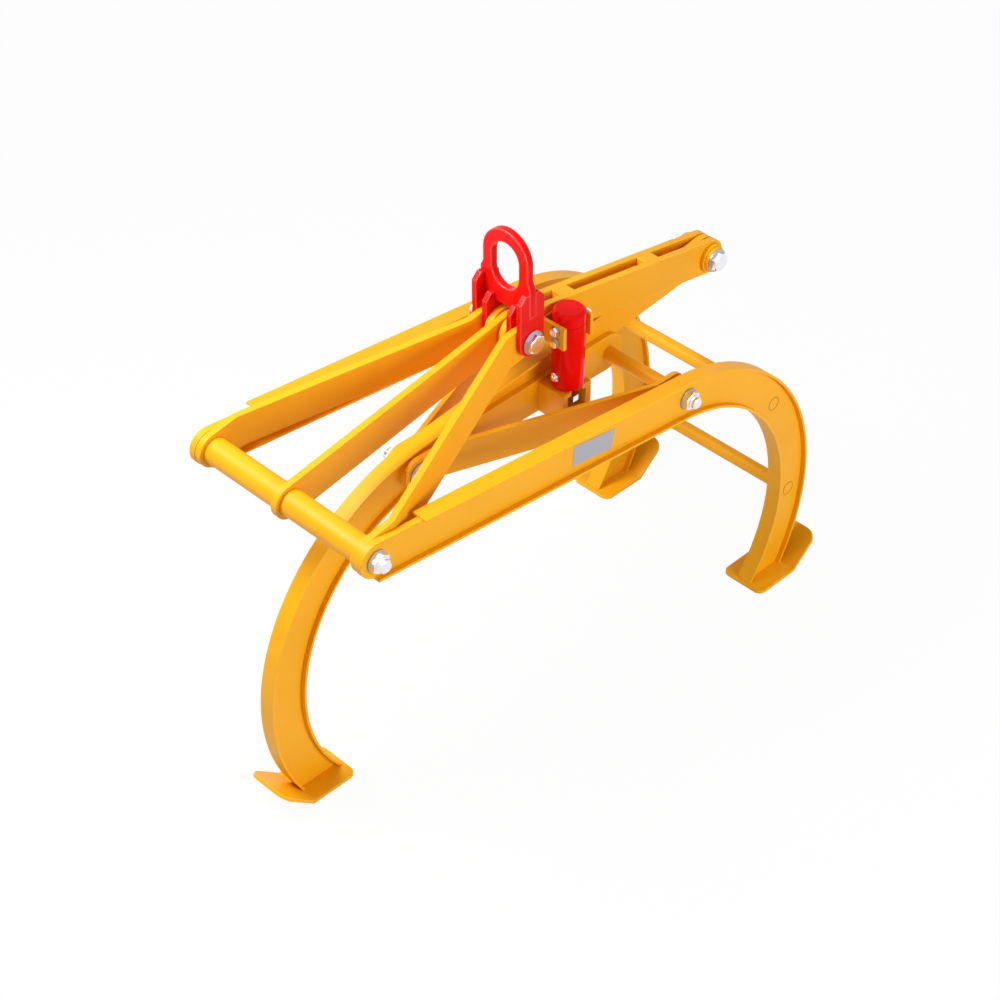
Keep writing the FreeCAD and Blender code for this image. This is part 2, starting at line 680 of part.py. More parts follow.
# The long bolt and the tie rod run across the whole frame and clamp the outer webs.
frame_clamp = frame_outer + size.washer_thick
hex_bolt("long_bolt", left_end, frame_clamp, size.bolt_diameter, "far")
rod_half = frame_clamp + size.nut_thick + size.bolt_stick_out
node(cylinder("tie_rod_bar", size.rod_diameter / 2, rod_half * 2,
              along_y(outer_tie[0], -float(rod_half), outer_tie[1])), "tie_rod")
group(washer_pair("long", left_end, frame_outer, bolt_hole)
      + washer_pair("tie", outer_tie, frame_outer, rod_hole), "frame_washers")
group([hex_nut("long_nut", left_end, frame_clamp, bolt_hole, "near"),
       hex_nut("tie_nut_near", outer_tie, frame_clamp, rod_hole, "near"),
       hex_nut("tie_nut_far", outer_tie, frame_clamp, rod_hole, "far")], "frame_nuts")

# Short pins: through the lugs, the right end of the inner arm and its crook.
end_grip = link_plate_face + size.plate_thick + size.end_disc_thick + size.end_cap_thick
crook_grip = splay_face + size.splay_thick
for name, pivot, grip in (("top_pin", top_pivot, lug_outside), ("end_pin", right_end, end_grip),
                          ("crook_pin", inner_tie, crook_grip)):
    clamp = grip + size.washer_thick
    hex_bolt(name + "_bolt", pivot, clamp, size.bolt_diameter, "near")
    group(washer_pair(name, pivot, grip, bolt_hole), name + "_washers")
    node(hex_nut(name + "_hex", pivot, clamp, bolt_hole, "far"), name + "_nut")

# Round bars welded through both outer webs.
for name, local_x, local_y in (("rear_cross_bar", rear_x, rear_y), ("low_cross_bar", low_x, low_y)):
    slope = math.radians(arm_slope)
    x = left_end[0] + float(local_x) * math.cos(slope) + float(local_y) * math.sin(slope)
    z = left_end[1] - float(local_x) * math.sin(slope) + float(local_y) * math.cos(slope)
    node(cylinder(name, size.bar_diameter / 2, frame_outer * 2, along_y(x, -float(frame_outer), z)), name)

# Left link: the centre bar and the two joggled side bars, with tubes on the long bolt.
centre_place = upright(top_pivot[0], -float(hub_face), top_pivot[1], -link_slope, True)
eye_bar("left_link_centre_bar", link_length, size.bar_half, size.bar_half, size.bar_thick,
        bolt_hole, bolt_hole, centre_place)
for side, sign in (("near", -1), ("far", 1)):
    face_a = side_bar_face if sign > 0 else -side_bar_face
    face_b = low_bar_face if sign > 0 else -low_bar_face
    joggled_bar(f"left_link_{side}_bar", link_length, size.bar_half, size.bar_thick,
                size.bar_bend_top, size.bar_bend_low, face_a, face_b, bolt_hole,
                upright(top_pivot[0], 0.0, top_pivot[1], -link_slope, True))

tube_length = low_bar_face - hub_face - size.ring_thick
lx, lz = left_end
node(tube("near_spacer", size.spacer_diameter, bolt_hole, tube_length,
          along_y(lx, -float(hub_face + tube_length), lz)), "near_spacer_tube")
node(tube("far_spacer", size.spacer_diameter, bolt_hole, tube_length,
          along_y(lx, float(hub_face + size.ring_thick), lz)), "far_spacer_tube")
group([tube(f"{side}_ring", size.ring_diameter, bolt_hole, size.ring_thick, along_y(lx, y, lz))
       for side, y in (("near", -float(low_bar_face)), ("far", float(hub_face)))], "spacer_rings")
group([tube("near_hub", size.hub_diameter, bolt_hole, size.hub_thick,
            along_y(top_x, -float(hub_face + size.hub_thick), pin_z)),
       tube("far_hub", size.hub_diameter, bolt_hole, size.hub_thick, along_y(top_x, float(hub_face), pin_z))],
      "top_hub_rings")

# Right link: two plates beside the inner arm, with battens between them. Its eyes at the top pin
# have free play, because the linkage closes there.
play_hole = bolt_hole + size.free_play
rx, rz = right_end
for side, y in (("near", -float(link_plate_face)), ("far", float(link_plate_face + size.plate_thick))):
    eye_bar(f"right_link_{side}_plate", link_length, size.plate_half, size.plate_half, size.plate_thick,
            play_hole, bolt_hole, upright(top_x, y, pin_z, -link_slope))
battens = []
for name, distance in (("upper", size.batten_near_pin), ("lower", size.batten_far_pin)):
    batten = doc.addObject("Part::Box", f"{name}_batten")
    bind(batten, "Length", size.batten_width)
    bind(batten, "Width", size.web_thick)
    bind(batten, "Height", link_plate_face * 2)
    slope = math.radians(link_slope)
    offset = upright(top_x, 0.0, pin_z, -link_slope)
    local = FreeCAD.Vector(float(distance), float(size.plate_half - size.web_thick), -float(link_plate_face))
    batten.Placement = FreeCAD.Placement(offset.multVec(local), offset.Rotation)
    battens.append(batten)
group(battens, "right_link_battens")
group([tube("end_hub_near", size.hub_diameter, bolt_hole, size.hub_thick,
            along_y(rx, -float(web_face + size.hub_thick), rz)),
       tube("end_hub_far", size.hub_diameter, bolt_hole, size.hub_thick, along_y(rx, float(web_face), rz))],
      "end_hub_rings")
disc_face = link_plate_face + size.plate_thick
cap_face = disc_face + size.end_disc_thick
end_discs = []
for name, wide, thick, y in (
        ("disc_near", size.end_disc_diameter, size.end_disc_thick, -float(cap_face)),
        ("disc_far", size.end_disc_diameter, size.end_disc_thick, float(disc_face)),
        ("cap_near", size.end_cap_diameter, size.end_cap_thick, -float(end_grip)),
        ("cap_far", size.end_cap_diameter, size.end_cap_thick, float(cap_face))):
    end_discs.append(tube(name, wide, bolt_hole, thick, along_y(rx, y, rz)))
group(end_discs, "end_discs")

# Tie frame: two centre plates beside the inner arm and two plates that splay out to the webs.
tie_span = size.tie_reach * 2
for side, y in (("near", -float(tie_plate_face)), ("far", float(tie_plate_face + size.tie_plate_thick))):
    body = doc.addObject("PartDesign::Body", f"tie_{side}_plate_body")
    sketch = new_sketch(body, "XY_Plane", f"tie_{side}_plate_outline")
    eye_bar_outline(sketch, tie_span, size.tie_end_small, size.tie_end_large)
    hole_at(sketch, "hole_a", 0.0, 0.0, bolt_hole)
    hole_at(sketch, "hole_b", tie_span, 0.0, rod_hole)
    pad(body, sketch, size.tie_plate_thick)
    body.Placement = upright(inner_tie[0], y, inner_tie[1])
    node(body, f"tie_{side}_plate")
splay_end = frame_inner - size.side_gap - size.end_spacer_length - size.splay_thick
for side, sign in (("near", 1), ("far", -1)):
    # The drawing's normal is -Y here, so the near plate has positive layers.
    face_a = splay_face if sign > 0 else -splay_face
    face_b = splay_end if sign > 0 else -splay_end
    joggled_bar(f"tie_{side}_splay", tie_span, size.splay_half, size.splay_thick,
                size.splay_foot, size.splay_foot, face_a, face_b, bolt_hole,
                upright(inner_tie[0], 0.0, inner_tie[1]))
px, pz = outer_tie
sleeve_length = splay_end - splay_face
node(tube("near_sleeve", size.bar_diameter, rod_hole, sleeve_length, along_y(px, -float(splay_end), pz)),
     "tie_near_sleeve")
node(tube("far_sleeve", size.bar_diameter, rod_hole, sleeve_length, along_y(px, float(splay_face), pz)),
     "tie_far_sleeve")
end_start = splay_end + size.splay_thick
end_length = size.end_spacer_length
end_spacers = []
for name, length, y in (("mid_spacer", tie_plate_face * 2, -float(tie_plate_face)),
                        ("near_end_spacer", end_length, -float(end_start + end_length)),
                        ("far_end_spacer", end_length, float(end_start))):
    end_spacers.append(tube(name, size.bar_diameter, rod_hole, length, along_y(px, y, pz)))
group(end_spacers, "tie_end_spacers")


def polygon_sketch(body, role, name, corners):
    """A closed outline whose corners are all bound."""
    sketch = new_sketch(body, role, name)
    count = len(corners)
    for index in range(count):
        first, second = corners[index], corners[(index + 1) % count]
        sketch.addGeometry(Part.LineSegment(point(*first), point(*second)), False)
    for index in range(count):
        sketch.addConstraint(Sketcher.Constraint("Coincident", index, 2, (index + 1) % count, 1))
    for index, (x, y) in enumerate(corners):
        constrain(sketch, f"corner_x{index}", x, "DistanceX", -1, 1, index, 1)
        constrain(sketch, f"corner_y{index}", y, "DistanceY", -1, 1, index, 1)
    return sketch


# Latch box on the near tie plate: a channel with lips, open along Y.
half = size.box_width / 2
slot = size.box_slot / 2
wall = size.box_wall
low = -size.box_height
box_body = doc.addObject("PartDesign::Body", "latch_box_body")
box_sketch = polygon_sketch(box_body, "XY_Plane", "latch_box_outline",
                            [(-half, low), (half, low), (half, zero), (slot, zero),
                             (slot, -size.box_lip), (half - wall, -size.box_lip),
                             (half - wall, low + wall), (-(half - wall), low + wall),
                             (-(half - wall), -size.box_lip), (-slot, -size.box_lip),
                             (-slot, zero), (-half, zero)])
pad(box_body, box_sketch, size.box_depth)
box_z = pin_z - float(size.tie_drop - size.box_top)
box_body.Placement = upright(top_x + float(size.latch_x + size.box_shift), -float(splay_face), box_z)
node(box_body, "latch_box")

# Lifting eye, a plate across the lugs.
eye_body = doc.addObject("PartDesign::Body", "eye_plate_body")
eye_sketch = new_sketch(eye_body, "YZ_Plane", "eye_plate_outline")
ring_half = size.eye_ring
crown = size.eye_top - size.eye_ring
foot = lug_outside
base = size.eye_base
neck = size.eye_neck
lug_top = size.outer_lug_top
up = FreeCAD.Vector(0, 0, 1)
crown_circle = Part.Circle(point(0, crown), up, float(ring_half))
crown_arc = eye_sketch.addGeometry(Part.ArcOfCircle(crown_circle, 0, math.pi), False)
outline = [(ring_half, crown), (ring_half, neck + (foot - ring_half) * 2), (foot, neck), (foot, base),
           (-foot, base), (-foot, neck), (-ring_half, neck + (foot - ring_half) * 2), (-ring_half, crown)]
for index in range(len(outline) - 1):
    first, second = outline[index], outline[index + 1]
    eye_sketch.addGeometry(Part.LineSegment(point(*first), point(*second)), False)
eye_sketch.addConstraint(Sketcher.Constraint("Tangent", crown_arc, 1, 1, 1))
eye_sketch.addConstraint(Sketcher.Constraint("Tangent", crown_arc, 2, len(outline) - 1, 2))
eye_sketch.addConstraint(Sketcher.Constraint("Vertical", 1))
eye_sketch.addConstraint(Sketcher.Constraint("PointOnObject", crown_arc, 3, -2))
constrain(eye_sketch, "crown", crown, "DistanceY", -1, 1, crown_arc, 3)
constrain(eye_sketch, "ring", ring_half, "Radius", crown_arc)
for index in range(1, len(outline) - 1):
    x, y = outline[index]
    eye_sketch.addConstraint(Sketcher.Constraint("Coincident", index, 2, index + 1, 1))
    constrain(eye_sketch, f"corner_y{index}", y, "DistanceY", -1, 1, index, 2)
    if index != 1:
        constrain(eye_sketch, f"corner_x{index}", x, "DistanceX", -1, 1, index, 2)
pad(eye_body, eye_sketch, size.eye_thick, True)
slot_sketch = new_sketch(eye_body, "YZ_Plane", "eye_hole")
hole_half = size.eye_hole_width / 2
low_centre = size.eye_hole_base + hole_half
high_centre = size.eye_hole_base + size.eye_hole_height - hole_half
high_circle = Part.Circle(point(0, high_centre), up, float(hole_half))
low_circle = Part.Circle(point(0, low_centre), up, float(hole_half))
high_arc = slot_sketch.addGeometry(Part.ArcOfCircle(high_circle, 0, math.pi), False)
low_arc = slot_sketch.addGeometry(Part.ArcOfCircle(low_circle, math.pi, 2 * math.pi), False)
left_side = Part.LineSegment(point(-hole_half, high_centre), point(-hole_half, low_centre))
right_side = Part.LineSegment(point(hole_half, high_centre), point(hole_half, low_centre))
left = slot_sketch.addGeometry(left_side, False)
right = slot_sketch.addGeometry(right_side, False)
slot_sketch.addConstraint(Sketcher.Constraint("Tangent", left, 1, high_arc, 2))
slot_sketch.addConstraint(Sketcher.Constraint("Tangent", right, 1, high_arc, 1))
slot_sketch.addConstraint(Sketcher.Constraint("Tangent", left, 2, low_arc, 1))
slot_sketch.addConstraint(Sketcher.Constraint("Tangent", right, 2, low_arc, 2))
slot_sketch.addConstraint(Sketcher.Constraint("PointOnObject", high_arc, 3, -2))
slot_sketch.addConstraint(Sketcher.Constraint("PointOnObject", low_arc, 3, -2))
constrain(slot_sketch, "radius", hole_half, "Radius", high_arc)
constrain(slot_sketch, "high", high_centre, "DistanceY", -1, 1, high_arc, 3)
constrain(slot_sketch, "low", low_centre, "DistanceY", -1, 1, low_arc, 3)
eye_hole = eye_body.newObject("PartDesign::Pocket", "eye_hole_cut")
eye_hole.Profile = slot_sketch
eye_hole.Type = "ThroughAll"
eye_hole.SideType = "Symmetric"
eye_body.Placement = FreeCAD.Placement(FreeCAD.Vector(top_x, 0, pin_z), FreeCAD.Rotation())
node(eye_body, "eye_plate")


def lug(label, top, y):
    """A lug of the lifting eye: round below, bevelled at its top corners and slotted for the plate."""
    body = doc.addObject("PartDesign::Body", label + "_body")
    sketch = new_sketch(body, "XY_Plane", label + "_outline")
    half = size.lug_half
    corner = size.lug_corner
    circle = Part.Circle(point(0, 0), up, float(half))
    bottom = sketch.addGeometry(Part.ArcOfCircle(circle, math.pi, 2 * math.pi), False)
    notch = size.eye_thick / 2
    corners = [(half, zero), (half, top - corner), (half - corner, top),
               (notch, top), (notch, size.eye_base), (-notch, size.eye_base), (-notch, top),
               (-(half - corner), top), (-half, top - corner), (-half, zero)]
    for index in range(len(corners) - 1):
        sketch.addGeometry(Part.LineSegment(point(*corners[index]), point(*corners[index + 1])), False)
    last = len(corners) - 1
    sketch.addConstraint(Sketcher.Constraint("Coincident", bottom, 3, -1, 1))
    constrain(sketch, "half", half, "Radius", bottom)
    sketch.addConstraint(Sketcher.Constraint("Tangent", 1, 1, bottom, 2))
    sketch.addConstraint(Sketcher.Constraint("Tangent", last, 2, bottom, 1))
    sketch.addConstraint(Sketcher.Constraint("Vertical", 1))
    sketch.addConstraint(Sketcher.Constraint("Vertical", last))
    for index in range(1, last):
        x, z = corners[index]
        sketch.addConstraint(Sketcher.Constraint("Coincident", index, 2, index + 1, 1))
        constrain(sketch, f"corner_y{index}", z, "DistanceY", -1, 1, index, 2)
        if 1 < index < last - 1:
            constrain(sketch, f"corner_x{index}", x, "DistanceX", -1, 1, index, 2)
    hole_at(sketch, "pin_hole", 0.0, 0.0, bolt_hole)
    pad(body, sketch, size.lug_thick)
    body.Placement = upright(top_x, y, pin_z)
    return node(body, label)


lug("near_inner_lug", size.inner_lug_top, -float(inner_lug_face))
lug("far_inner_lug", size.inner_lug_top, float(inner_lug_face + size.lug_thick))
lug("near_outer_lug", size.outer_lug_top, -float(outer_lug_face))
lug("far_outer_lug", size.outer_lug_top, float(outer_lug_face + size.lug_thick))

# Latch on the near plate of the right link: a barrel in a bracket, with a turning tee rod.
latch_x = top_x + float(size.latch_x)
latch_y = -float(size.latch_y)
barrel_length = size.latch_length - size.latch_cap
barrel_foot = size.box_top - size.tie_drop + size.latch_box_gap
barrel_z = pin_z + float(barrel_foot)
stand = FreeCAD.Placement(FreeCAD.Vector(latch_x, latch_y, barrel_z), FreeCAD.Rotation())
floor_thick = size.latch_wall
outside = cylinder("barrel_outside", size.latch_diameter / 2, barrel_length, stand)
chamber_place = FreeCAD.Placement(FreeCAD.Vector(latch_x, latch_y, barrel_z + float(floor_thick)),
                                  FreeCAD.Rotation())
chamber = cylinder("barrel_chamber", size.latch_diameter / 2 - size.latch_wall,
                   barrel_length - floor_thick, chamber_place)
rod_way = cylinder("barrel_rod_way", size.latch_rod / 2 + size.pin_clearance, barrel_length, stand)
hollow = doc.addObject("Part::Cut", "barrel_hollow")
hollow.Base = outside
hollow.Tool = chamber
barrel = doc.addObject("Part::Cut", "barrel_cut")
barrel.Base = hollow
barrel.Tool = rod_way
node(barrel, "latch_barrel")

cap_body = doc.addObject("PartDesign::Body", "latch_cap_body")
radius = size.latch_diameter / 2
cap_profile = polygon_sketch(cap_body, "XZ_Plane", "latch_cap_profile",
                             [(zero, zero), (radius, zero), (radius, size.latch_cap - size.latch_chamfer),
                              (radius - size.latch_chamfer, size.latch_cap), (zero, size.latch_cap)])
turned = cap_body.newObject("PartDesign::Revolution", "latch_cap_turned")
turned.Profile = cap_profile
turned.ReferenceAxis = (cap_profile, ["V_Axis"])
turned.Angle = 360.0
cap_body.Placement = FreeCAD.Placement(FreeCAD.Vector(latch_x, latch_y, barrel_z + float(barrel_length)),
                                       FreeCAD.Rotation())
node(cap_body, "latch_cap")

tee_bottom = pin_z - float(size.latch_tee_drop + size.latch_tee_height)
rod_place = FreeCAD.Placement(FreeCAD.Vector(latch_x, latch_y, tee_bottom), FreeCAD.Rotation())
rod_above_pin = barrel_foot + size.latch_length - size.latch_cap - size.latch_headroom
rod_below_pin = size.latch_tee_drop + size.latch_tee_height
stem = cylinder("latch_stem", size.latch_rod / 2, rod_below_pin + rod_above_pin, rod_place)
tee = doc.addObject("Part::Box", "latch_tee")
bind(tee, "Length", size.latch_tee_width)
bind(tee, "Width", size.latch_tee_length)
bind(tee, "Height", size.latch_tee_height)
tee.Placement = FreeCAD.Placement(FreeCAD.Vector(latch_x - float(size.latch_tee_width) / 2,
                                                 latch_y - float(size.latch_tee_length) / 2, tee_bottom),
                                  FreeCAD.Rotation())
fused([stem, tee], "latch_tee_rod")

# The bracket is a channel round the barrel, seen from above, welded to the link's near plate.
link_outside = link_plate_face + size.plate_thick
ear_in = size.latch_diameter / 2
ear_out = ear_in + size.bracket_thick
bracket_back = size.latch_y - link_outside - ear_in
bracket_body = doc.addObject("PartDesign::Body", "latch_bracket_body")
bracket_sketch = polygon_sketch(bracket_body, "XY_Plane", "latch_bracket_plan",
                                [(-ear_out, zero), (-ear_out, -size.bracket_depth),
                                 (-ear_in, -size.bracket_depth), (-ear_in, -bracket_back),
                                 (ear_in, -bracket_back), (ear_in, -size.bracket_depth),
                                 (ear_out, -size.bracket_depth), (ear_out, zero)])
pad(bracket_body, bracket_sketch, size.bracket_height)
bracket_body.Placement = FreeCAD.Placement(
    FreeCAD.Vector(latch_x, -float(link_outside), pin_z + float(size.bracket_top - size.bracket_height)),
    FreeCAD.Rotation())
node(bracket_body, "latch_bracket")

bracket_bolts = []
for side, sign in (("left", -1.0), ("right", 1.0)):
    turn = FreeCAD.Rotation(FreeCAD.Vector(0, 1, 0), 90.0 * sign)
    for row, drop in (("high", size.bracket_high_bolt), ("low", size.bracket_low_bolt)):
        seat = FreeCAD.Vector(latch_x + sign * float(ear_out), latch_y - float(size.bracket_bolt_out),
                              pin_z - float(drop))
        head_seat = seat + FreeCAD.Vector(sign * float(size.bracket_washer_thick), 0, 0)
        washer = cylinder(f"bracket_washer_{side}_{row}", size.bracket_washer / 2, size.bracket_washer_thick,
                          FreeCAD.Placement(seat, turn))
        head = hexagon(f"bracket_head_{side}_{row}", size.bracket_head_flats, size.bracket_head_thick,
                       FreeCAD.Placement(head_seat, turn))
        both = doc.addObject("Part::MultiFuse", f"bracket_bolt_{side}_{row}")
        both.Shapes = [washer, head]
        bracket_bolts.append(both)
group(bracket_bolts, "bracket_bolts")

doc.recompute()
for thing in doc.Objects:
    if "Invalid" in thing.State or "Error" in thing.State:
        raise RuntimeError(f"{thing.Label} failed: {thing.State}")
for thing in nodes:
    if thing.Shape.isNull() or not thing.Shape.isValid():
        raise RuntimeError(f"{thing.Label} has no valid shape")
for thing in nodes:
    thing.Shape.exportStep(f"parts/{thing.Label}.step")
print(len(nodes), "nodes written")
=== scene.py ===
import json

import bmesh
import bpy
import numpy as np
from mathutils import Matrix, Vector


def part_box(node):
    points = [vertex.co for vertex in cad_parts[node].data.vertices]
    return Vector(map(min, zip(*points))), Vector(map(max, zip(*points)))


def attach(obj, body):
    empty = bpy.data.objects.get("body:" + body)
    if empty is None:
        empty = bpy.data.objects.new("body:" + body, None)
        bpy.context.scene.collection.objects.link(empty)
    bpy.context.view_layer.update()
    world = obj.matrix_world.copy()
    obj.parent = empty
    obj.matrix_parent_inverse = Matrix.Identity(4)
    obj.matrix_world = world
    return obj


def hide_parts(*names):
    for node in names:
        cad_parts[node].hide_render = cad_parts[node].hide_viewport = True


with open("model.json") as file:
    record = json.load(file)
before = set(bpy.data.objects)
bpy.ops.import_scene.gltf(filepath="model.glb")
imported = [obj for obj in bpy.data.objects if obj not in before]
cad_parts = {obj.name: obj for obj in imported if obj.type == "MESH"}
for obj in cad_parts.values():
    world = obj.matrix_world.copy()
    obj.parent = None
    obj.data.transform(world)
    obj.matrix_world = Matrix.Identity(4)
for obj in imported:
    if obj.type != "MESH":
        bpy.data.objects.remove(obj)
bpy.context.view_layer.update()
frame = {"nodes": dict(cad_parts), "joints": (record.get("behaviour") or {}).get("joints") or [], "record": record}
bodyOf = {node: body for body, nodes in frame["record"]["behaviour"]["bodies"].items() for node in nodes}
slotOf = {row["node"]: row["material_slot"] for row in frame["record"]["subparts"]}

# Camera, floor and light.
camera = {
    "place": (-2.9809, -2.9390, 3.9236), "lens": 88.12, "sensor": 36.0,
    "right": (0.70581, -0.70840, 0.0), "up": (0.45353, 0.45188, 0.76819),
    "back": (-0.54418, -0.54220, 0.64023),
}
cameraData = bpy.data.cameras.new("photoCamera")
cameraData.lens = camera["lens"]
cameraData.sensor_width = camera["sensor"]
cameraData.clip_end = 60.0
cameraObject = bpy.data.objects.new("photoCamera", cameraData)
bpy.context.scene.collection.objects.link(cameraObject)
turn = Matrix((camera["right"], camera["up"], camera["back"])).transposed()
cameraObject.matrix_world = Matrix.Translation(camera["place"]) @ turn.to_4x4()
bpy.context.scene.camera = cameraObject
bpy.context.scene.view_settings.view_transform = "Standard"


def newNode(tree, kind, **values):
    made = tree.nodes.new(kind)
    for name, value in values.items():
        setattr(made, name, value)
    return made


def emptyMaterial(name):
    material = bpy.data.materials.new(name)
    material.use_nodes = True
    material.node_tree.nodes.clear()
    return material, material.node_tree


def softLight(name, place, aim, size, watts):
    lamp = bpy.data.lights.new(name, "AREA")
    lamp.shape = "SQUARE"
    lamp.size = size
    lamp.energy = watts
    lampObject = bpy.data.objects.new(name, lamp)
    bpy.context.scene.collection.objects.link(lampObject)
    back = np.subtract(place, aim)
    back = back / np.linalg.norm(back)
    side = np.cross((0, 0, 1), back)
    side = side / np.linalg.norm(side)
    turned = Matrix((side, np.cross(back, side), back)).transposed()
    lampObject.matrix_world = Matrix.Translation(place) @ turned.to_4x4()


studio = {
    "floorSide": 30.0, "floorDrop": 0.0004, "floorColour": (0.86, 0.86, 0.86, 1.0), "floorShown": 0.96,
    "skyShown": 1.0, "skyLight": 0.24,
    "keyPlace": (-1.3, 0.9, 3.0), "keySize": 1.4, "keyWatts": 98.0,
    "fillPlace": (0.6, -4.6, 1.9), "fillSize": 2.4, "fillWatts": 122.0,
    "aim": (0.0, 0.0, 0.6),
}


def shownToEye(tree, share):
    # The share for rays from the camera, from a glossy surface or through a clear one; 0 for all others.
    path = newNode(tree, "ShaderNodeLightPath")
    first = newNode(tree, "ShaderNodeMath", operation="MAXIMUM")
    tree.links.new(path.outputs["Is Camera Ray"], first.inputs[0])
    tree.links.new(path.outputs["Is Glossy Ray"], first.inputs[1])
    second = newNode(tree, "ShaderNodeMath", operation="MAXIMUM")
    tree.links.new(first.outputs[0], second.inputs[0])
    tree.links.new(path.outputs["Is Transmission Ray"], second.inputs[1])
    scaled = newNode(tree, "ShaderNodeMath", operation="MULTIPLY")
    tree.links.new(second.outputs[0], scaled.inputs[0])
    scaled.inputs[1].default_value = share
    return scaled.outputs[0]


def makeStudio():
    half = studio["floorSide"] / 2
    floorMesh = bpy.data.meshes.new("floor")
    corners = [(-half, -half, -studio["floorDrop"]), (half, -half, -studio["floorDrop"]),
               (half, half, -studio["floorDrop"]), (-half, half, -studio["floorDrop"])]
    floorMesh.from_pydata(corners, [], [(0, 1, 2, 3)])
    floor = bpy.data.objects.new("floor", floorMesh)
    bpy.context.scene.collection.objects.link(floor)
    material, tree = emptyMaterial("paleFloor")
    shade = newNode(tree, "ShaderNodeBsdfDiffuse")
    shade.inputs["Color"].default_value = studio["floorColour"]
    # Seen by the camera or in a reflection, the floor is nearly all white and keeps a faint shadow.
    white = newNode(tree, "ShaderNodeEmission")
    white.inputs["Strength"].default_value = 1.0
    blend = newNode(tree, "ShaderNodeMixShader")
    tree.links.new(shownToEye(tree, studio["floorShown"]), blend.inputs["Fac"])
    tree.links.new(shade.outputs[0], blend.inputs[1])
    tree.links.new(white.outputs[0], blend.inputs[2])
    out = newNode(tree, "ShaderNodeOutputMaterial")
    tree.links.new(blend.outputs[0], out.inputs["Surface"])
    floorMesh.materials.append(material)
    world = bpy.data.worlds.new("studioSky")
    bpy.context.scene.world = world
    world.use_nodes = True
    tree = world.node_tree
    tree.nodes.clear()
    level = newNode(tree, "ShaderNodeMapRange")
    tree.links.new(shownToEye(tree, 1.0), level.inputs["Value"])
    level.inputs["To Min"].default_value = studio["skyLight"]
    level.inputs["To Max"].default_value = studio["skyShown"]
    sky = newNode(tree, "ShaderNodeBackground")
    sky.inputs["Color"].default_value = (1.0, 1.0, 1.0, 1.0)
    tree.links.new(level.outputs["Result"], sky.inputs["Strength"])
    out = newNode(tree, "ShaderNodeOutputWorld")
    tree.links.new(sky.outputs[0], out.inputs["Surface"])
    softLight("keyLight", studio["keyPlace"], studio["aim"], studio["keySize"], studio["keyWatts"])
    softLight("fillLight", studio["fillPlace"], studio["aim"], studio["fillSize"], studio["fillWatts"])


makeStudio()
print("camera, floor and light ready")

# Paints and plating.
finishes = {
    "yellow": {"colour": (0.94, 0.43, 0.006), "dark": (0.90, 0.405, 0.005), "rough": (0.38, 0.48),
               "metal": 0.0, "sheen": 0.22, "peel": 0.03},
    # A lighter, glossier copy of the yellow for the rounded edges: a painted highlight.
    "yellowEdgePaintedHighlight": {"colour": (0.96, 0.52, 0.010), "dark": (0.94, 0.48, 0.008), "rough": (0.32, 0.42),
                   "metal": 0.0, "sheen": 0.30, "peel": 0.02},
    # A dark brown for the rings round the cross bars' ends: painted shade of the groove at each end.
    "seam": {"colour": (0.46, 0.19, 0.004), "dark": (0.34, 0.13, 0.003), "rough": (0.6, 0.8),
             "metal": 0.0, "sheen": 0.10, "peel": 0.02},
    "red": {"colour": (0.82, 0.006, 0.006), "dark": (0.80, 0.005, 0.005), "rough": (0.16, 0.20),
            "metal": 0.0, "sheen": 0.10, "peel": 0.004},
    "redGloss": {"colour": (0.85, 0.004, 0.003), "dark": (0.83, 0.003, 0.003), "rough": (0.10, 0.13),
                 "metal": 0.0, "sheen": 0.07, "peel": 0.002},
    # A paler, glossier copy of the red for the rounded edges: a painted highlight.
    "redEdgePaintedHighlight": {"colour": (0.95, 0.040, 0.030), "dark": (0.92, 0.030, 0.024), "rough": (0.16, 0.22),
                "metal": 0.0, "sheen": 0.45, "peel": 0.004},
    "zinc": {"colour": (0.86, 0.87, 0.90), "dark": (0.74, 0.75, 0.79), "rough": (0.14, 0.24),
             "metal": 1.0, "sheen": 0.50, "peel": 0.01},
    "zincDark": {"colour": (0.46, 0.47, 0.52), "dark": (0.34, 0.35, 0.39), "rough": (0.24, 0.36),
                 "metal": 1.0, "sheen": 0.50, "peel": 0.01},
    "plate": {"colour": (0.40, 0.40, 0.44), "dark": (0.38, 0.38, 0.42), "rough": (0.34, 0.42),
              "metal": 0.0, "sheen": 0.40, "peel": 0.004},
}
grain = {
    "cloudScale": 7.0, "cloudDetail": 6.0, "cloudLow": 0.25, "cloudHigh": 0.55,
    "roughScale": 90.0, "roughDetail": 4.0, "peelScale": 420.0, "peelDepth": 0.001,
}


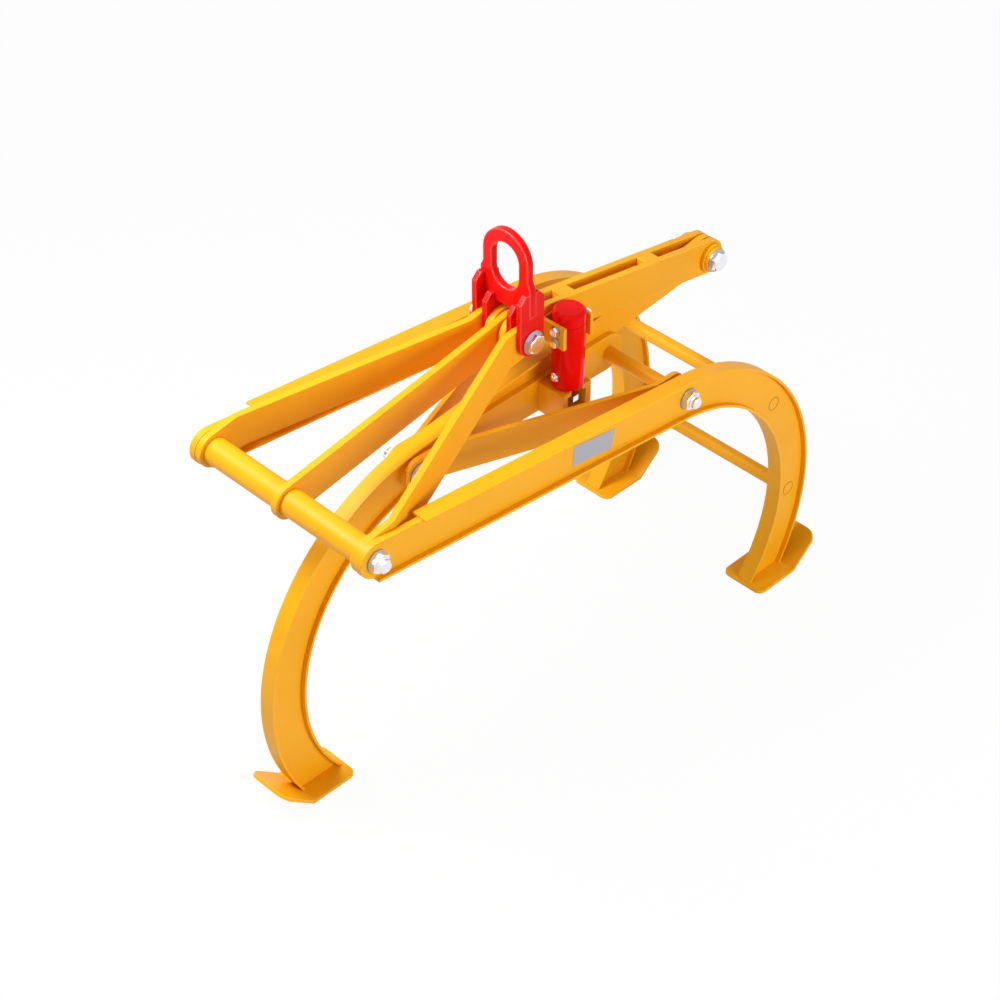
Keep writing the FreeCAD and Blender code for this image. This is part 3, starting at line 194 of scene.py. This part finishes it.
def paint(name):
    # Colour drifts in soft clouds, roughness in a finer noise, and a very fine one gives the orange peel.
    values = finishes[name]
    material, tree = emptyMaterial(name)
    place = newNode(tree, "ShaderNodeTexCoord")
    cloud = newNode(tree, "ShaderNodeTexNoise")
    cloud.inputs["Scale"].default_value = grain["cloudScale"]
    cloud.inputs["Detail"].default_value = grain["cloudDetail"]
    tree.links.new(place.outputs["Object"], cloud.inputs["Vector"])
    mix = newNode(tree, "ShaderNodeMix", data_type="RGBA")
    colourIn = [s for s in mix.inputs if s.type == "RGBA"]
    colourIn[0].default_value = (*values["dark"], 1.0)
    colourIn[1].default_value = (*values["colour"], 1.0)
    spread = newNode(tree, "ShaderNodeMapRange")
    spread.inputs["From Min"].default_value = grain["cloudLow"]
    spread.inputs["From Max"].default_value = grain["cloudHigh"]
    tree.links.new(cloud.outputs["Fac"], spread.inputs["Value"])
    tree.links.new(spread.outputs["Result"], mix.inputs["Factor"])
    rough = newNode(tree, "ShaderNodeMapRange")
    rough.inputs["To Min"].default_value, rough.inputs["To Max"].default_value = values["rough"]
    fine = newNode(tree, "ShaderNodeTexNoise")
    fine.inputs["Scale"].default_value = grain["roughScale"]
    fine.inputs["Detail"].default_value = grain["roughDetail"]
    tree.links.new(place.outputs["Object"], fine.inputs["Vector"])
    tree.links.new(fine.outputs["Fac"], rough.inputs["Value"])
    peel = newNode(tree, "ShaderNodeTexNoise")
    peel.inputs["Scale"].default_value = grain["peelScale"]
    tree.links.new(place.outputs["Object"], peel.inputs["Vector"])
    bump = newNode(tree, "ShaderNodeBump")
    bump.inputs["Strength"].default_value = values["peel"]
    bump.inputs["Distance"].default_value = grain["peelDepth"]
    tree.links.new(peel.outputs["Fac"], bump.inputs["Height"])
    shade = newNode(tree, "ShaderNodeBsdfPrincipled")
    shade.inputs["Metallic"].default_value = values["metal"]
    shade.inputs["Specular IOR Level"].default_value = values["sheen"]
    tree.links.new([s for s in mix.outputs if s.type == "RGBA"][0], shade.inputs["Base Color"])
    tree.links.new(rough.outputs["Result"], shade.inputs["Roughness"])
    tree.links.new(bump.outputs["Normal"], shade.inputs["Normal"])
    out = newNode(tree, "ShaderNodeOutputMaterial")
    tree.links.new(shade.outputs[0], out.inputs["Surface"])
    return material


paints = {name: paint(name) for name in finishes}
# Each slot's paint for the faces, then its paint for the rounded edges; for the yellow and the red that second
# paint is a painted highlight.
paintOfSlot = {"yellow_paint": ("yellow", "yellowEdgePaintedHighlight"), "red_paint": ("red", "redEdgePaintedHighlight"),
               "zinc_steel": ("zinc", "zinc")}

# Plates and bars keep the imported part's shape; their edges are rounded by a radius in metres.
plateEdges = {"radius": 0.0012, "segments": 2, "weld": 2e-6, "flatDegrees": 0.4, "sharpDegrees": 32}
redPlates = {"eye_plate": 0.0030, "near_inner_lug": 0.0022, "far_inner_lug": 0.0022,
             "near_outer_lug": 0.0022, "far_outer_lug": 0.0022}


def roundedCopy(node, radius):
    # Welds the imported triangles, clears the edges inside flat faces and bevels what stays sharp; the bevels take
    # the slot's second paint, which for the yellow and the red is a painted highlight.
    sharp = np.radians(plateEdges["sharpDegrees"])
    mesh = bmesh.new()
    mesh.from_mesh(frame["nodes"][node].data)
    bmesh.ops.remove_doubles(mesh, verts=mesh.verts, dist=plateEdges["weld"])
    flat = np.radians(plateEdges["flatDegrees"])
    bmesh.ops.dissolve_limit(mesh, angle_limit=flat, verts=mesh.verts, edges=mesh.edges)
    made = bpy.data.meshes.new(node + ".rounded")
    mesh.to_mesh(made)
    mesh.free()
    made.materials.clear()
    for name in paintOfSlot[slotOf[node]]:
        made.materials.append(paints[name])
    made.polygons.foreach_set("material_index", np.zeros(len(made.polygons), int))
    made.shade_smooth()
    made.set_sharp_from_angle(angle=sharp)
    piece = bpy.data.objects.new(node + "_piece", made)
    bpy.context.scene.collection.objects.link(piece)
    edge = piece.modifiers.new("roundedEdges", "BEVEL")
    edge.width = radius
    edge.segments = plateEdges["segments"]
    edge.limit_method = "ANGLE"
    edge.angle_limit = sharp
    # The bevelled faces take the second paint, a painted highlight on the yellow and red edges.
    edge.material = 1
    edge.harden_normals = True
    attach(piece, bodyOf[node])
    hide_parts(node)


# The bolts, nuts, washers, rings and the latch's barrel are turned anew; all the rest are plates and bars.
madeAnew = {"long_bolt", "tie_rod", "frame_washers", "frame_nuts", "top_pin_bolt", "top_pin_washers",
            "top_pin_nut", "end_pin_bolt", "end_pin_washers", "end_pin_nut", "crook_pin_bolt",
            "crook_pin_washers", "crook_pin_nut", "bracket_bolts", "spacer_rings", "latch_barrel", "latch_cap"}
for node in sorted(set(frame["nodes"]) - madeAnew):
    roundedCopy(node, redPlates.get(node, plateEdges["radius"]))
print("plates and bars ready")


def roundShell(radius, height, ring=False):
    # Rows of a profile against steps round an axis: the point (r cos a, r sin a, h), with r and h given for
    # each row and each angle a. A ring joins its last row to its first; any other shell ends in two poles.
    rows, steps = radius.shape
    angle = np.arange(steps) * 2 * np.pi / steps
    points = np.stack([radius * np.cos(angle), radius * np.sin(angle), height], axis=-1).reshape(-1, 3)
    row, step = np.meshgrid(np.arange(rows if ring else rows - 1), np.arange(steps), indexing="ij")
    below, beside = (row + 1) % rows, (step + 1) % steps
    here, down = row * steps, below * steps
    faces = np.stack([here + step, here + beside, down + beside, down + step], -1)
    return points, faces.reshape(-1, 4)


def turnedShell(profile, steps=64, ring=False):
    # A surface of revolution: each (radius, height) of the profile is carried once round the axis.
    profile = np.array(profile, float)
    radius = np.repeat(profile[:, :1], steps, axis=1)
    height = np.repeat(profile[:, 1:], steps, axis=1)
    return roundShell(radius, height, ring)


def hexShell(flats, thick, bore=0.0, steps=72, crown=0.95, slope=30.0):
    # A hexagon whose radius at angle a is half the flats over cos(a from the nearest flat's middle), cut by a
    # cone: past the crown's circle the top falls by the tangent of the slope.
    angle = np.arange(steps) * 2 * np.pi / steps
    side = flats / 2 / np.cos((angle + np.pi / 6) % (np.pi / 3) - np.pi / 6)
    circle = np.full(steps, flats / 2 * crown)
    inside = np.full(steps, bore)
    top = np.full(steps, thick)
    fall = thick - (side - circle) * np.tan(np.radians(slope))
    radius = np.stack([inside, circle, side, side, inside])
    height = np.stack([top, top, fall, 0 * top, 0 * top])
    return roundShell(radius, height, ring=bore > 0)


def standAlong(shell, foot, axis):
    # Stands a shell on its foot: its height runs along the given axis, which is X, Y or Z in either sense.
    points, faces = shell
    axis = np.array(axis, float)
    side = np.array((0.0, 1.0, 0.0)) if abs(axis[0]) > 0.5 else np.array((1.0, 0.0, 0.0))
    up = np.cross(axis, side)
    return np.array(foot) + points[:, :1] * side + points[:, 1:2] * up + points[:, 2:] * axis, faces


joined = {"weld": 1e-7, "sharpDegrees": 28.0, "edgeSegments": 2}


def firstPaint(shells):
    # Every shell with the number of the piece's first paint.
    return [(shell, 0) for shell in shells]


def makePiece(name, shells, paintNames, body, stands=(), edge=0.0):
    # Joins closed shells, each with the number of its paint, in one mesh whose faces point outwards.
    sharp = np.radians(joined["sharpDegrees"])
    start, points, faces, numbers = 0, [], [], []
    for (shellPoints, shellFaces), number in shells:
        points.append(shellPoints)
        faces.append(shellFaces + start)
        numbers.append(np.full(len(shellFaces), number))
        start += len(shellPoints)
    made = bpy.data.meshes.new(name)
    made.from_pydata(np.vstack(points).tolist(), [], np.vstack(faces).tolist())
    for paintName in paintNames:
        made.materials.append(paints[paintName])
    made.polygons.foreach_set("material_index", np.concatenate(numbers).astype(int))
    shape = bmesh.new()
    shape.from_mesh(made)
    bmesh.ops.remove_doubles(shape, verts=shape.verts, dist=joined["weld"])
    bmesh.ops.recalc_face_normals(shape, faces=shape.faces)
    shape.to_mesh(made)
    shape.free()
    made.shade_smooth()
    made.set_sharp_from_angle(angle=sharp)
    piece = bpy.data.objects.new(name, made)
    bpy.context.scene.collection.objects.link(piece)
    if edge:
        rounding = piece.modifiers.new("roundedEdges", "BEVEL")
        rounding.width = edge
        rounding.segments = joined["edgeSegments"]
        rounding.limit_method = "ANGLE"
        rounding.angle_limit = sharp
        rounding.harden_normals = True
    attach(piece, body)
    if stands:
        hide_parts(*stands)


# Pivots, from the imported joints.
pivot = {joint["name"]: np.array(joint["pos_m"], float) for joint in frame["joints"]}
topPin, longBolt, endPin = pivot["top_pin_turn"], pivot["left_link_fold"], pivot["right_link_fold"]
tieRod, crookPin = pivot["outer_arms_swing"], pivot["inner_arm_swing"]

fastener = {
    "flats": 0.041, "headThick": 0.013, "nutThick": 0.0125,
    "collar": 0.017, "collarThick": 0.0045, "collarSunk": 0.001, "collarFall": 0.0014, "collarIn": 0.0016,
    "pinWasher": 0.028, "frameWasher": 0.025, "washerThick": 0.004, "washerEdge": 0.0006,
    "bolt": 0.015, "rod": 0.0135, "stickOut": 0.009, "endBevel": 0.003,
}


def washerShell(bore, outer):
    # A flat ring with its outer rims broken.
    edge, thick = fastener["washerEdge"], fastener["washerThick"]
    return turnedShell([(bore, 0.0), (outer - edge, 0.0), (outer, edge), (outer, thick - edge),
                        (outer - edge, thick), (bore, thick)], ring=True)


def lockNutShells(bore, foot, axis):
    # A hexagon with a round collar above it, as on a lock nut.
    thick, collar, sunk = fastener["nutThick"], fastener["collar"], fastener["collarSunk"]
    top = thick + fastener["collarThick"]
    ring = turnedShell([(bore, thick - sunk), (collar, thick - sunk), (collar, top - fastener["collarFall"]),
                        (collar - fastener["collarIn"], top), (bore, top)], ring=True)
    return [standAlong(hexShell(fastener["flats"], thick, bore), foot, axis), standAlong(ring, foot, axis)]


def endShell(radius, length):
    # A plain round end with a bevelled tip.
    bevel = fastener["endBevel"]
    return turnedShell([(0, 0), (radius, 0), (radius, length - bevel), (radius - bevel, length), (0, length)])


def boltShells(at, radius, nearFace, farFace, headSide):
    # A shank between the two washers' faces, with a head on one side and a bevelled end past the other's nut.
    away = {"near": (0, -1, 0), "far": (0, 1, 0)}
    face = {"near": nearFace, "far": farFace}
    nutSide = "far" if headSide == "near" else "near"
    length = abs(farFace - nearFace)
    foot = np.array((at[0], face[headSide], at[2]))
    shank = standAlong(turnedShell([(0, 0), (radius, 0), (radius, length), (0, length)]), foot, away[nutSide])
    head = standAlong(hexShell(fastener["flats"], fastener["headThick"]), foot, away[headSide])
    endFoot = np.array((at[0], face[nutSide], at[2]))
    nutTop = fastener["nutThick"] + fastener["collarThick"]
    tip = standAlong(endShell(radius, nutTop + fastener["stickOut"]), endFoot, away[nutSide])
    return [shank, head, tip], (endFoot, away[nutSide])


def boltedJoint(name, at, radius, body, nodes, headSide):
    # One bolt with its two washers and its lock nut; the washers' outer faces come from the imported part.
    boltNode, washerNode, nutNode = nodes
    low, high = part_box(washerNode)
    shells, (nutFoot, nutAxis) = boltShells(at, radius, low[1], high[1], headSide)
    makePiece(name + "_bolt_turned", firstPaint(shells), ["zinc"], body, [boltNode])
    thick = fastener["washerThick"]
    ring = washerShell(radius, fastener["pinWasher"])
    rings = [standAlong(ring, (at[0], low[1] + thick, at[2]), (0, -1, 0)),
             standAlong(ring, (at[0], high[1] - thick, at[2]), (0, 1, 0))]
    makePiece(name + "_washers_turned", firstPaint(rings), ["zincDark"], body, [washerNode])
    nut = lockNutShells(radius, nutFoot, nutAxis)
    makePiece(name + "_nut_turned", firstPaint(nut), ["zinc"], body, [nutNode])


boltedJoint("top_pin", topPin, fastener["bolt"], "top_pin",
            ("top_pin_bolt", "top_pin_washers", "top_pin_nut"), "near")
boltedJoint("end_pin", endPin, fastener["bolt"], "right_link",
            ("end_pin_bolt", "end_pin_washers", "end_pin_nut"), "near")


def frameFasteners():
    # The long bolt and the tie rod clamp the two outer webs.
    low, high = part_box("frame_washers")
    near, far, thick = low[1], high[1], fastener["washerThick"]
    shells, (nutFoot, nutAxis) = boltShells(longBolt, fastener["bolt"], near, far, "far")
    makePiece("long_bolt_turned", firstPaint(shells), ["zinc"], "outer_arms", ["long_bolt"])
    rod = fastener["rod"]
    nutTop = fastener["nutThick"] + fastener["collarThick"]
    end = nutTop + fastener["stickOut"]
    shank = turnedShell([(0, 0), (rod, 0), (rod, far - near), (0, far - near)])
    rodShells = [standAlong(shank, (tieRod[0], near, tieRod[2]), (0, 1, 0)),
                 standAlong(endShell(rod, end), (tieRod[0], near, tieRod[2]), (0, -1, 0)),
                 standAlong(endShell(rod, end), (tieRod[0], far, tieRod[2]), (0, 1, 0))]
    makePiece("tie_rod_turned", firstPaint(rodShells), ["zinc"], "outer_arms", ["tie_rod"])
    rings = []
    for at, radius in ((longBolt, fastener["bolt"]), (tieRod, rod)):
        ring = washerShell(radius, fastener["frameWasher"])
        rings.append(standAlong(ring, (at[0], near + thick, at[2]), (0, -1, 0)))
        rings.append(standAlong(ring, (at[0], far - thick, at[2]), (0, 1, 0)))
    makePiece("frame_washers_turned", firstPaint(rings), ["zincDark"], "outer_arms",
              ["frame_washers"])
    nuts = lockNutShells(fastener["bolt"], nutFoot, nutAxis)
    nuts += lockNutShells(rod, (tieRod[0], near, tieRod[2]), (0, -1, 0))
    nuts += lockNutShells(rod, (tieRod[0], far, tieRod[2]), (0, 1, 0))
    makePiece("frame_nuts_turned", firstPaint(nuts), ["zinc"], "outer_arms", ["frame_nuts"])


frameFasteners()
boltedJoint("crook_pin", crookPin, fastener["bolt"], "tie_frame",
            ("crook_pin_bolt", "crook_pin_washers", "crook_pin_nut"), "near")
print("bolts, washers and nuts ready")

spacerRing = {"bore": 0.0151, "core": 0.0272, "rim": 0.035, "thick": 0.007, "gap": 0.0017, "edge": 0.0005,
              "steps": 96}


def makeSpacerRings():
    # A narrow raised rim on a lower core, which leaves a dark gap on each side.
    low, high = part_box("spacer_rings")
    core, rim, thick = spacerRing["core"], spacerRing["rim"], spacerRing["thick"]
    gap, edge, bore = spacerRing["gap"], spacerRing["edge"], spacerRing["bore"]
    profile = [(bore, 0), (core, 0), (core, gap), (rim - edge, gap), (rim, gap + edge), (rim, thick - gap - edge),
               (rim - edge, thick - gap), (core, thick - gap), (core, thick), (bore, thick)]
    shell = turnedShell(profile, spacerRing["steps"], ring=True)
    near = standAlong(shell, (longBolt[0], low[1], longBolt[2]), (0, 1, 0))
    far = standAlong(shell, (longBolt[0], high[1], longBolt[2]), (0, -1, 0))
    makePiece("spacer_rings_turned", firstPaint([near, far]), ["yellow"], "left_link",
              ["spacer_rings"])


makeSpacerRings()

latch = {"wall": 0.006, "rodWay": 0.01005, "topBevel": 0.007, "capEdge": 0.0010, "footRound": 0.004,
         "footSteps": 6, "seamDepth": 0.0010, "seamWide": 0.0016, "steps": 96}


def makeLatchBarrel():
    # The barrel is a cup that opens upwards and the cap closes it, with a narrow groove at the joint.
    at = pivot["latch_rod_turn"]
    low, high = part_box("latch_barrel")
    capLow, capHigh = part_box("latch_cap")
    radius = (high[0] - low[0]) / 2
    length = high[2] - low[2]
    wall, rodWay, soft = latch["wall"], latch["rodWay"], latch["footRound"]
    seam, sunk = latch["seamWide"] / 2, radius - latch["seamDepth"]
    inner = radius - wall
    bend = np.linspace(0, np.pi / 2, latch["footSteps"])
    foot = [(radius - soft + soft * np.sin(a), soft - soft * np.cos(a)) for a in bend]
    cup = [(rodWay, 0.0)] + foot + [(radius, length - seam), (sunk, length - seam), (sunk, length),
                                    (inner, length), (inner, wall), (rodWay, wall)]
    barrel = standAlong(turnedShell(cup, latch["steps"], ring=True), (at[0], at[1], low[2]), (0, 0, 1))
    makePiece("latch_barrel_turned", firstPaint([barrel]), ["redGloss"], "right_link",
              ["latch_barrel"])
    tall = capHigh[2] - capLow[2]
    bevel = latch["topBevel"]
    profile = [(0, 0), (sunk, 0), (sunk, seam), (radius, seam), (radius, tall - bevel), (radius - bevel, tall),
               (0, tall)]
    cap = standAlong(turnedShell(profile, latch["steps"]), (at[0], at[1], capLow[2]), (0, 0, 1))
    makePiece("latch_cap_turned", firstPaint([cap]), ["redGloss"], "right_link", ["latch_cap"],
              edge=latch["capEdge"])


makeLatchBarrel()

smallBolt = {
    "flats": 0.019, "head": 0.008, "crown": 0.86, "washer": 0.012, "washerThick": 0.0025, "washerSteps": 40,
    "drops": (0.006, 0.035),
    "guideDrop": 0.131, "guideFlats": 0.019, "guideNut": 0.008, "guideCrown": 0.9, "guideSunk": 0.001,
    "guideBolt": 0.0055, "guideOut": 0.006, "guideBevel": 0.001, "guideSteps": 32,
}


def makeSmallBolts():
    # Bolts through the bracket's ears and the barrel's guide screws, all along X and placed below the top pin.
    at = pivot["latch_rod_turn"]
    low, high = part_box("bracket_bolts")
    earLow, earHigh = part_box("latch_bracket")
    middle = (low[1] + high[1]) / 2
    heads, screws = [], []
    barrelLow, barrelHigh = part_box("latch_barrel")
    barrel = (barrelHigh[0] - barrelLow[0]) / 2
    wide, thick = smallBolt["washer"], smallBolt["washerThick"]
    disc = turnedShell([(0, 0), (wide, 0), (wide, thick), (0, thick)], smallBolt["washerSteps"])
    head = hexShell(smallBolt["flats"], smallBolt["head"], crown=smallBolt["crown"])
    radius, bevel = smallBolt["guideBolt"], smallBolt["guideBevel"]
    end = smallBolt["guideNut"] + smallBolt["guideOut"]
    stub = turnedShell([(0, 0), (radius, 0), (radius, end - bevel), (radius - bevel, end), (0, end)],
                       smallBolt["guideSteps"])
    nut = hexShell(smallBolt["guideFlats"], smallBolt["guideNut"], crown=smallBolt["guideCrown"])
    for sign, ear in ((-1, earLow[0]), (1, earHigh[0])):
        axis = (sign, 0, 0)
        for drop in smallBolt["drops"]:
            foot = np.array((ear, middle, topPin[2] - drop))
            heads.append((standAlong(disc, foot, axis), 1))
            heads.append((standAlong(head, foot + np.array(axis) * thick, axis), 0))
        side = at[0] + sign * (barrel - smallBolt["guideSunk"])
        foot = np.array((side, at[1], topPin[2] - smallBolt["guideDrop"]))
        screws.append((standAlong(nut, foot, axis), 0))
        screws.append((standAlong(stub, foot, axis), 0))
    makePiece("bracket_bolts_turned", heads, ["zinc", "zincDark"], "right_link", ["bracket_bolts"])
    makePiece("guide_screws", screws, ["zinc"], "right_link")


makeSmallBolts()
print("latch and rings ready")

plug = {"outer": 0.0172, "wide": 0.0013, "rise": 0.0003, "sunk": 0.0002, "steps": 64}


def makePlugSeamShade():
    # Thin rings of painted shade round the cross bars' ends on the outer webs, where the groove at each end lies:
    # a flat band between two radii, in the dark seam paint.
    outer, inner = plug["outer"], plug["outer"] - plug["wide"]
    foot, top = -plug["sunk"], plug["rise"]
    ring = turnedShell([(inner, foot), (outer, foot), (outer, top), (inner, top)], plug["steps"], ring=True)
    near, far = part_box("near_arm_web")[0][1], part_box("far_arm_web")[1][1]
    seams = []
    for node in ("rear_cross_bar", "low_cross_bar"):
        low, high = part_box(node)
        x, z = (low[0] + high[0]) / 2, (low[2] + high[2]) / 2
        seams.append(standAlong(ring, (x, near, z), (0, -1, 0)))
        seams.append(standAlong(ring, (x, far, z), (0, 1, 0)))
    makePiece("plug_seam_shade", firstPaint(seams), ["seam"], "outer_arms")


makePlugSeamShade()

# Corners across and below the top pin's axis.
label = {"corners": ((-0.0657, -0.1385), (0.0596, -0.1584), (0.0494, -0.2062), (-0.0688, -0.1886)),
         "rise": 0.0008, "sunk": 0.0001}


def makeLabel():
    # A bare plate on the near web: a four-cornered sheet given its thickness along Y.
    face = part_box("near_arm_web")[0][1]
    flat = np.array([(topPin[0] + x, topPin[2] + z) for x, z in label["corners"]])
    points = np.empty((8, 3))
    points[:4, 0], points[4:, 0] = flat[:, 0], flat[:, 0]
    points[:4, 2], points[4:, 2] = flat[:, 1], flat[:, 1]
    points[:4, 1], points[4:, 1] = face + label["sunk"], face - label["rise"]
    faces = np.array([(0, 1, 2, 3), (7, 6, 5, 4), (0, 4, 5, 1), (1, 5, 6, 2), (2, 6, 7, 3), (3, 7, 4, 0)])
    makePiece("bare_plate", firstPaint([(points, faces)]), ["plate"], "outer_arms")


makeLabel()
print("seams and bare plate ready")
